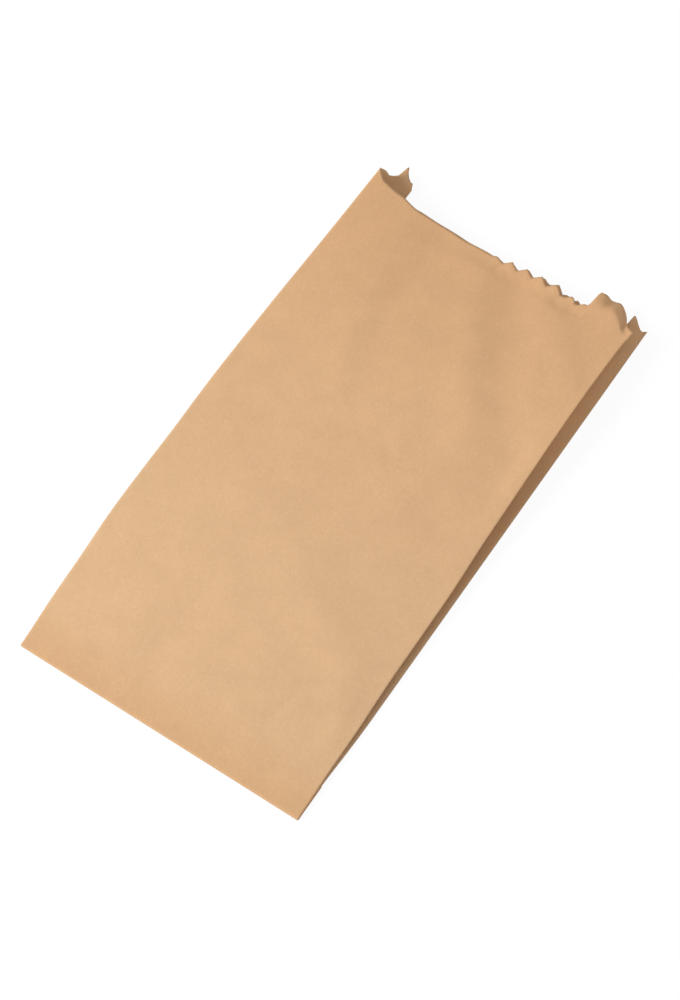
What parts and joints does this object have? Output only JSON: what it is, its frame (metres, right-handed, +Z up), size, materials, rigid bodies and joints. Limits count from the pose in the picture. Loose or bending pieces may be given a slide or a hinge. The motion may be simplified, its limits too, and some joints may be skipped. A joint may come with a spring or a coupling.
{
  "type": "paper bag",
  "caption": "Side-gusseted kraft paper bag lying flat on its back, with a folded and glued bottom, a lap seam down the back and an open tooth-cut mouth.",
  "frame": {"origin": "middle of the bag's outline, on the surface it lies on", "axes": "+X across the bag, +Y along it from the folded bottom to the open mouth, +Z up out of the front panel"},
  "size_m": [0.1526, 0.3096, 0.0172],
  "materials": {
    "kraft_paper": "uncoated brown kraft paper, matt"
  },
  "bodies": {
    "root": {"paper_bag": "kraft_paper"}
  },
  "joints": []
}
